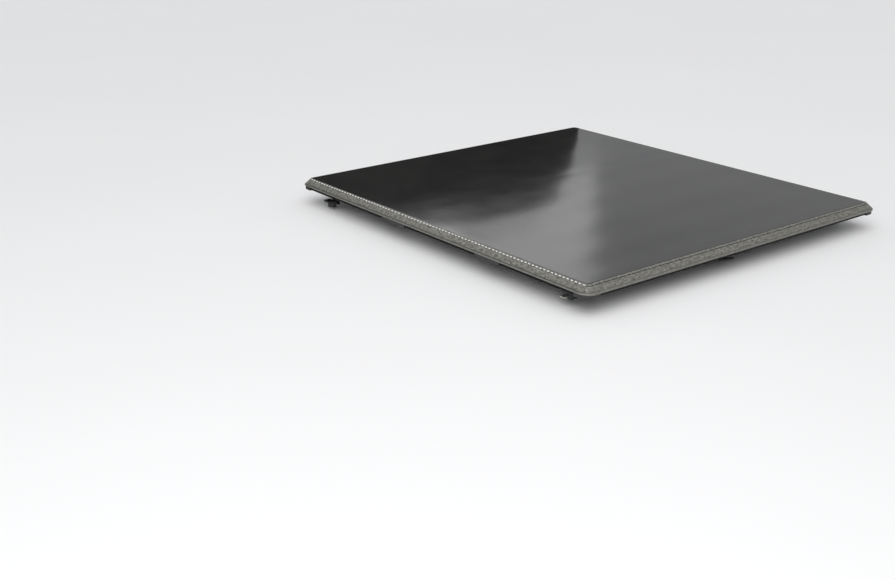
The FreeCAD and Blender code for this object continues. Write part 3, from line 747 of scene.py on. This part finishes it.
def make_metal(name, grain):
    """Extruded aluminium. grain stretches the die lines along the extrusion."""
    look = Look(name, (0.6, 0.6, 0.6), 0.38, Metallic=1.0)
    place = look.place()
    lines = look.noise(look.stretch(place, grain), 1.0, 4.0, 0.6)
    wide = look.noise(look.stretch(place, [g * 0.16 for g in grain]), 1.0, 2.0)
    cloud = look.noise(place, 5.0, 4.0, 0.55)
    scuff = look.remap(look.noise(place, 130.0, 7.0, 0.75), 0.66, 0.80)
    shade = look.blend(cloud, 0.5, wide, 0.5)
    clean = look.mix(look.remap(shade, 0.3, 0.7), (0.53, 0.53, 0.535), (0.66, 0.66, 0.655))
    look.color(look.mix(look.math("MULTIPLY", scuff, 0.5), clean, (0.36, 0.36, 0.365)))
    look.roughness(look.remap(lines, 0.3, 0.7, 0.28, 0.46))
    look.bump(lines, 0.25, 0.0002)
    return look.material


def make_nylon():
    look = Look("nylon_look", (0.045, 0.045, 0.046), 0.55)
    place = look.place()
    grain = look.noise(place, 1800.0, 3.0, 0.7)
    flow = look.noise(look.stretch(place, (1, 2.4, 1)), 35.0, 4.0)
    look.color(look.mix(flow, (0.016, 0.016, 0.017), (0.038, 0.038, 0.037)))
    look.roughness(look.remap(flow, 0.3, 0.7, 0.46, 0.66))
    look.bump(grain, 0.45, 0.0004)
    return look.material


def make_powder_coat():
    look = Look("powder_coat_look", (0.025, 0.025, 0.027), 0.5)
    place = look.place()
    peel = look.noise(place, 700.0, 2.0)
    scuff = look.noise(place, 90.0, 6.0, 0.7)
    look.color(look.mix(look.remap(scuff, 0.55, 0.8), (0.02, 0.02, 0.022), (0.07, 0.07, 0.072)))
    look.roughness(look.remap(scuff, 0.3, 0.7, 0.42, 0.6))
    look.bump(peel, 0.4, 0.0004)
    return look.material


def make_knob():
    look = Look("knob_look", (0.03, 0.03, 0.03), 0.45)
    place = look.place()
    spark = look.noise(place, 1400.0, 2.0)
    wear = look.noise(place, 120.0, 5.0, 0.6)
    look.color(look.mix(look.remap(wear, 0.4, 0.75), (0.022, 0.022, 0.022), (0.06, 0.06, 0.06)))
    look.roughness(look.remap(wear, 0.3, 0.7, 0.36, 0.58))
    look.bump(spark, 0.4, 0.0003)
    return look.material


def make_zinc():
    look = Look("zinc_look", (0.62, 0.62, 0.6), 0.3, Metallic=1.0)
    place = look.place()
    bloom = look.noise(place, 160.0, 5.0, 0.65)
    tint = look.noise(place, 45.0, 3.0)
    fresh = look.mix(tint, (0.58, 0.60, 0.64), (0.70, 0.67, 0.56))
    look.color(look.mix(look.remap(bloom, 0.5, 0.8), fresh, (0.42, 0.42, 0.41)))
    look.roughness(look.remap(bloom, 0.3, 0.7, 0.22, 0.45))
    look.bump(bloom, 0.1, 0.0002)
    return look.material


vinyl_top = make_vinyl_top()
vinyl_border = make_vinyl_border()
backing = make_backing()
thread = make_thread("thread_look", (0.80, 0.79, 0.76), (0.97, 0.965, 0.94))
dark_thread = make_thread("dark_thread_look", (0.03, 0.03, 0.028), (0.075, 0.074, 0.07))
rubber = make_rubber()
metal_along = make_metal("aluminium_along_look", (1200.0, 4.0, 1200.0))
metal_across = make_metal("aluminium_across_look", (4.0, 1200.0, 1200.0))
NODE_LOOKS = {
    "corner_casting": make_nylon(),
    "hardware_black": make_powder_coat(),
    "knob_plastic": make_knob(),
    "zinc_steel": make_zinc(),
}

# ------------------------------------------------------------------ hard parts keep their shapes

for part in frame["record"]["subparts"]:
    look = NODE_LOOKS.get(part["material_slot"])
    if part["material_slot"] == "frame_metal":
        look = metal_along if "side_rail" in part["node"] else metal_across
    if look:
        for place in frame["nodes"][part["node"]].material_slots:
            place.material = look

# ------------------------------------------------------------------ the top sheet's three lengths

OVERHANG = run_lengths(ROLL)[-1] - ROLL[-1][0]
top_front = top_sheet("top_front", MID_SPACER, FRONT - CORNER, [FRONT_FOLD], end=1)
top_mid = top_sheet("top_mid", MID_PANEL, MID_SPACER, [SPACER_FOLD])
top_rear = top_sheet("top_rear", REAR + CORNER, MID_PANEL, [REAR_FOLD], end=-1)

for piece, nodes, bodies, fold, length, rests in (
    (
        top_front,
        ["front_skin"],
        ("front_panel", "spacer"),
        FRONT_FOLD,
        FRONT + OVERHANG - MID_SPACER,
        ["header_rail", "front_bow"],
    ),
    (
        top_mid,
        ["spacer_skin", "mid_skin"],
        ("spacer", "mid_panel"),
        SPACER_FOLD,
        MID_SPACER - MID_PANEL,
        ["mid_front_rail", "mid_bow"],
    ),
    (
        top_rear,
        ["rear_skin"],
        ("mid_panel", "rear_panel"),
        REAR_FOLD,
        MID_PANEL + OVERHANG - REAR,
        ["tail_rail", "rear_bow"],
    ),
):
    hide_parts(*nodes)
    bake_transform(piece)

# ------------------------------------------------------------------ border, stitches and hem

inner_x = HALF_WIDTH - CORNER
end_xs = even(-inner_x, inner_x, BORDER_STEP)
front_ys = even(FRONT_FOLD + SLIT_HALF, FRONT - CORNER, BORDER_STEP)
rear_ys = even(REAR_FOLD - SLIT_HALF, REAR + CORNER, BORDER_STEP)
mid_ys = even(REAR_FOLD + SLIT_HALF, SPACER_FOLD - SLIT_HALF, BORDER_STEP)
spacer_ys = even(SPACER_FOLD + SLIT_HALF, FRONT_FOLD - SLIT_HALF, BORDER_STEP)

BORDERS = (
    (
        "border_front",
        "front_panel",
        end_panel_path(1, front_ys, end_xs),
        ["front_border_left", "front_border_right", "header_border"],
        "header_rail",
    ),
    (
        "border_spacer_left",
        "spacer",
        side_path(-1, spacer_ys),
        ["spacer_borders"],
        "spacer_caps",
    ),
    ("border_spacer_right", "spacer", side_path(1, spacer_ys), [], "spacer_caps"),
    (
        "border_mid_left",
        "mid_panel",
        side_path(-1, mid_ys),
        ["mid_border_left"],
        "mid_side_rail_left",
    ),
    (
        "border_mid_right",
        "mid_panel",
        side_path(1, mid_ys),
        ["mid_border_right"],
        "mid_side_rail_right",
    ),
    (
        "border_rear",
        "rear_panel",
        end_panel_path(-1, rear_ys, end_xs),
        ["rear_border_left", "rear_border_right", "tail_border"],
        "tail_rail",
    ),
)
for name, body, path, nodes, rests in BORDERS:
    piece = border(name, path)
    length = sum(math.dist(a[0], b[0]) for a, b in zip(path, path[1:]))
    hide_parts(*nodes)
    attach(piece, body)

for panel, body, paths in (
    ("front", "front_panel", [BORDERS[0][2]]),
    ("spacer", "spacer", [BORDERS[1][2], BORDERS[2][2]]),
    ("mid", "mid_panel", [BORDERS[3][2], BORDERS[4][2]]),
    ("rear", "rear_panel", [BORDERS[5][2]]),
):
    for piece in (
        seam_stitches(f"seam_stitches_{panel}", paths),
        hem_stitches(f"hem_stitches_{panel}", paths),
    ):
        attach(piece, body)


def seal_sides(node):
    low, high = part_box(node)
    ys = even(low.y, high.y, SEAL_STEP)
    return side_path(-1, ys), side_path(1, ys)


def seal_end(node, end):
    low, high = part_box(node)
    return end_path(end, even(low.x, high.x, SEAL_STEP))


for name, body, paths, nodes in (
    (
        "seal_front",
        "front_panel",
        [*seal_sides("front_side_seals"), seal_end("header_seal", 1)],
        ["front_side_seals", "header_seal"],
    ),
    ("seal_mid", "mid_panel", seal_sides("mid_side_seals"), ["mid_side_seals"]),
    (
        "seal_rear",
        "rear_panel",
        [*seal_sides("rear_side_seals"), seal_end("tail_seal", -1)],
        ["rear_side_seals", "tail_seal"],
    ),
):
    piece = seal(name, *paths)
    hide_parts(*nodes)
    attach(piece, body)

# ------------------------------------------------------------------ small hardware
#
# Screw threads on the studs above their jaws, clips over the crank's pins, rivets that hold
# the bows to the side rails and ribbed rubber pads on the clamp jaws.

STUD_RADIUS = 0.0040
THREAD_PITCH = 0.00125
THREAD_RIDGE = 0.00036
TURN_STEPS = 14
RIVET_RADIUS = 0.0034
RIVET_RISE = 0.0014
RIVET_INSET = 0.009
RIVET_SPREAD = 0.010
CLIP_RADIUS = 0.0040
CLIP_WIRE = 0.0006
CLIP_GAP = 0.0003
ROD_EYE_TOP = 0.0375
CRANK_THROW = 0.025
CRANK_LEAD = math.radians(17.5)
PAD_THICK = 0.0016
PAD_RIB = 0.0006
PAD_EDGE = 0.0010
PAD_GAP = 0.0022
PAD_RIB_PITCH = 0.0030
PAD_SUNK = 0.0003


def tube(surface, line, radius, sides=6):
    """A round wire along a line of points, closed at its two ends."""
    rows = []
    for i, spot in enumerate(line):
        along = (line[min(i + 1, len(line) - 1)] - line[max(i - 1, 0)]).normalized()
        across = along.cross(Vector((0, 0, 1)))
        across = across.normalized() if across.length > 1e-6 else Vector((1, 0, 0))
        up = across.cross(along)
        rows.append(
            [
                tuple(
                    spot
                    + across * (radius * math.cos(2 * math.pi * n / sides))
                    + up * (radius * math.sin(2 * math.pi * n / sides))
                )
                for n in range(sides)
            ]
        )
    ids = surface.loft(rows, closed=True)
    surface.face(ids[0][::-1])
    surface.face(ids[-1])


def helix(x, y, low, high, radius, pitch):
    steps = int((high - low) / pitch * TURN_STEPS)
    line = []
    for i in range(steps + 1):
        angle = 2 * math.pi * i / TURN_STEPS
        height = low + (high - low) * i / steps
        line.append(Vector((x + radius * math.cos(angle), y + radius * math.sin(angle), height)))
    return line


def hanging_dome(surface, centre, radius, rise):
    """A rivet's round head on the underside of something."""
    rings = []
    for i in range(5):
        angle = math.pi / 2 * i / 5
        ring_radius, drop = radius * math.cos(angle), rise * math.sin(angle)
        rings.append(
            [
                (
                    centre.x + ring_radius * math.cos(2 * math.pi * n / 16),
                    centre.y + ring_radius * math.sin(2 * math.pi * n / 16),
                    centre.z - drop,
                )
                for n in range(16)
            ]
        )
    ids = surface.loft([[(x, y, centre.z) for x, y, _ in rings[0]], *rings], closed=True)
    surface.face(ids[0][::-1])
    surface.face(ids[-1])


def finish_hardware(surface, name, look, body):
    obj = surface.build(name, [look])
    orient(obj)
    finish_shade(obj)
    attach(obj, body)


zinc = NODE_LOOKS["zinc_steel"]
studs_low, studs_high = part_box("clamp_studs")
stud_x = studs_high.x - 0.0075
stud_y = (studs_low.y + studs_high.y) / 2
jaw_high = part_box("clamp_jaw_left")[1].z
arm_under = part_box("clamp_body_left")[1].z - 0.006
threads = Surface()
for x in (-stud_x, stud_x):
    line = helix(x, stud_y, jaw_high + 0.0012, arm_under - 0.0010, STUD_RADIUS, THREAD_PITCH)
    tube(threads, line, THREAD_RIDGE)
finish_hardware(threads, "stud_threads", zinc, "front_panel")

for bow, body in (
    ("front_bow", "front_panel"),
    ("mid_bow", "mid_panel"),
    ("rear_bow", "rear_panel"),
):
    low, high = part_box(bow)
    rivets = Surface()
    for x in (low.x + RIVET_INSET, high.x - RIVET_INSET):
        for y in (-RIVET_SPREAD, RIVET_SPREAD):
            spot = Vector((x, (low.y + high.y) / 2 + y, low.z))
            hanging_dome(rivets, spot, RIVET_RADIUS, RIVET_RISE)
    finish_hardware(rivets, f"{bow}_rivets", zinc, body)

pivot = joints["release_turn"]["pos_m"]
clips = Surface()
for end in (-1, 1):
    centre = Vector(
        (
            pivot[0] + end * CRANK_THROW * math.sin(CRANK_LEAD),
            pivot[1] + end * CRANK_THROW * math.cos(CRANK_LEAD),
            ROD_EYE_TOP + CLIP_WIRE + CLIP_GAP,
        )
    )
    line = []
    for i in range(25):
        angle = math.radians(30 + 300 * i / 24)
        line.append(centre + Vector((math.cos(angle), math.sin(angle), 0)) * CLIP_RADIUS)
    tube(clips, line, CLIP_WIRE, sides=8)
finish_hardware(clips, "crank_pin_clips", zinc, "handle")


def jaw_pad(side, body):
    """A ribbed rubber pad on a clamp jaw, outboard of the stud."""
    low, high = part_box(f"clamp_jaw_{side}")
    sign = -1 if side == "left" else 1
    near = sign * (stud_x + STUD_RADIUS + PAD_GAP)
    far = (low.x if sign < 0 else high.x) - sign * PAD_EDGE
    ys = even(low.y + PAD_EDGE, high.y - PAD_EDGE, PAD_RIB_PITCH / 4)
    ribs = [PAD_RIB * (0.5 - 0.5 * math.cos(y * 2 * math.pi / PAD_RIB_PITCH)) for y in ys]
    rows = []
    for x, height in (
        (near, PAD_THICK * 0.6),
        (near + sign * PAD_EDGE, PAD_THICK),
        (far - sign * PAD_EDGE, PAD_THICK),
        (far, PAD_THICK * 0.6),
    ):
        top = [(x, y, high.z + height - rib) for y, rib in zip(ys, ribs)]
        bottom = [(x, y, high.z - PAD_SUNK) for y in (ys[-1], ys[0])]
        rows.append(top + bottom)
    surface = Surface()
    surface.capped_loft(rows)
    finish_hardware(surface, f"jaw_pad_{side}", rubber, body)


jaw_pad("left", "left_jaw")
jaw_pad("right", "right_jaw")

# ------------------------------------------------------------------ floor, light and camera

FLOOR_HALF = 40.0
FLAG_AHEAD = 0.09
FLAG = [
    (-1.2, 0.0),
    (0.98, 0.0),
    (0.95, 0.25),
    (0.90, 0.42),
    (0.80, 0.53),
    (0.62, 0.58),
    (0.30, 0.58),
    (0.0, 0.545),
    (-1.2, 0.53),
]
CAMERA_PLACE = (-3.66, -3.73, 1.588)
CAMERA_YAW = math.radians(38.2)
CAMERA_PITCH = math.radians(20.4)


def floor():
    mesh = bpy.data.meshes.new("floor")
    corners = [(x * FLOOR_HALF, y * FLOOR_HALF, 0) for x, y in ((-1, -1), (1, -1), (1, 1), (-1, 1))]
    mesh.from_pydata(corners, [], [(0, 1, 2, 3)])
    look = Look("floor_look", (0.88, 0.88, 0.88), 0.9, Specular_IOR_Level=0.1)
    mottle = look.noise(look.place(), 0.8, 3.0)
    look.color(look.mix(mottle, (0.87, 0.87, 0.87), (0.90, 0.90, 0.90)))
    mesh.materials.append(look.material)
    add_object("floor", mesh)


def aimed(name, light, place, target):
    obj = add_object(name, light)
    obj.location = place
    obj.rotation_euler = (Vector(target) - Vector(place)).to_track_quat("-Z", "Y").to_euler()
    obj.visible_camera = False
    return obj


def area_light(name, place, target, size, power, gloss_only=False):
    light = bpy.data.lights.new(name, "AREA")
    light.shape = "RECTANGLE"
    light.size, light.size_y = size
    light.energy = power
    aimed(name, light, place, target).visible_diffuse = not gloss_only


def soft_sun(name, place, strength, spread):
    light = bpy.data.lights.new(name, "SUN")
    light.energy = strength
    light.angle = math.radians(spread)
    aimed(name, light, place, (0, 0, 0))


def flag():
    """A dark card on edge beyond the front, seen only as a reflection in the glossy top."""
    mesh = bpy.data.meshes.new("flag")
    outline = [(x, FRONT + FLAG_AHEAD, z) for x, z in FLAG]
    mesh.from_pydata(outline, [], [tuple(range(len(FLAG)))])
    look = Look("flag_look", (0.01, 0.01, 0.01), 0.9, Specular_IOR_Level=0.0)
    cloud = look.noise(look.place(), 3.0)
    look.color(look.mix(cloud, (0.008, 0.008, 0.008), (0.014, 0.014, 0.014)))
    mesh.materials.append(look.material)
    obj = add_object("flag", mesh)
    obj.visible_camera = False
    obj.visible_diffuse = False
    obj.visible_shadow = False


floor()
flag()
world = bpy.data.worlds.new("studio")
world.use_nodes = True
sky = world.node_tree.nodes["Background"]
sky.inputs["Color"].default_value = (0.97, 0.98, 1.0, 1)
sky.inputs["Strength"].default_value = 0.47
bpy.context.scene.world = world
bpy.context.scene.view_settings.view_transform = "Standard"

soft_sun("ceiling", (-0.5, -0.45, 1.0), 1.45, 70)
area_light("key", (-3.4, -3.0, 3.0), (-0.5, -0.5, 0.1), (2.6, 2.6), 55)
area_light("rim", (1.16, 3.3, 2.12), (1.16, 0, 2.12), (4.52, 1.65), 21, gloss_only=True)
area_light("rim_left", (0.45, 3.32, 2.05), (0.45, 0, 2.05), (3.1, 1.7), 19, gloss_only=True)

lens = bpy.data.cameras.new("camera")
lens.lens = 50.16
lens.sensor_width = 36.0
lens.clip_end = 200.0
camera = add_object("camera", lens)
camera.location = CAMERA_PLACE
camera.rotation_euler = (math.pi / 2 - CAMERA_PITCH, 0.0, -CAMERA_YAW)
bpy.context.scene.camera = camera
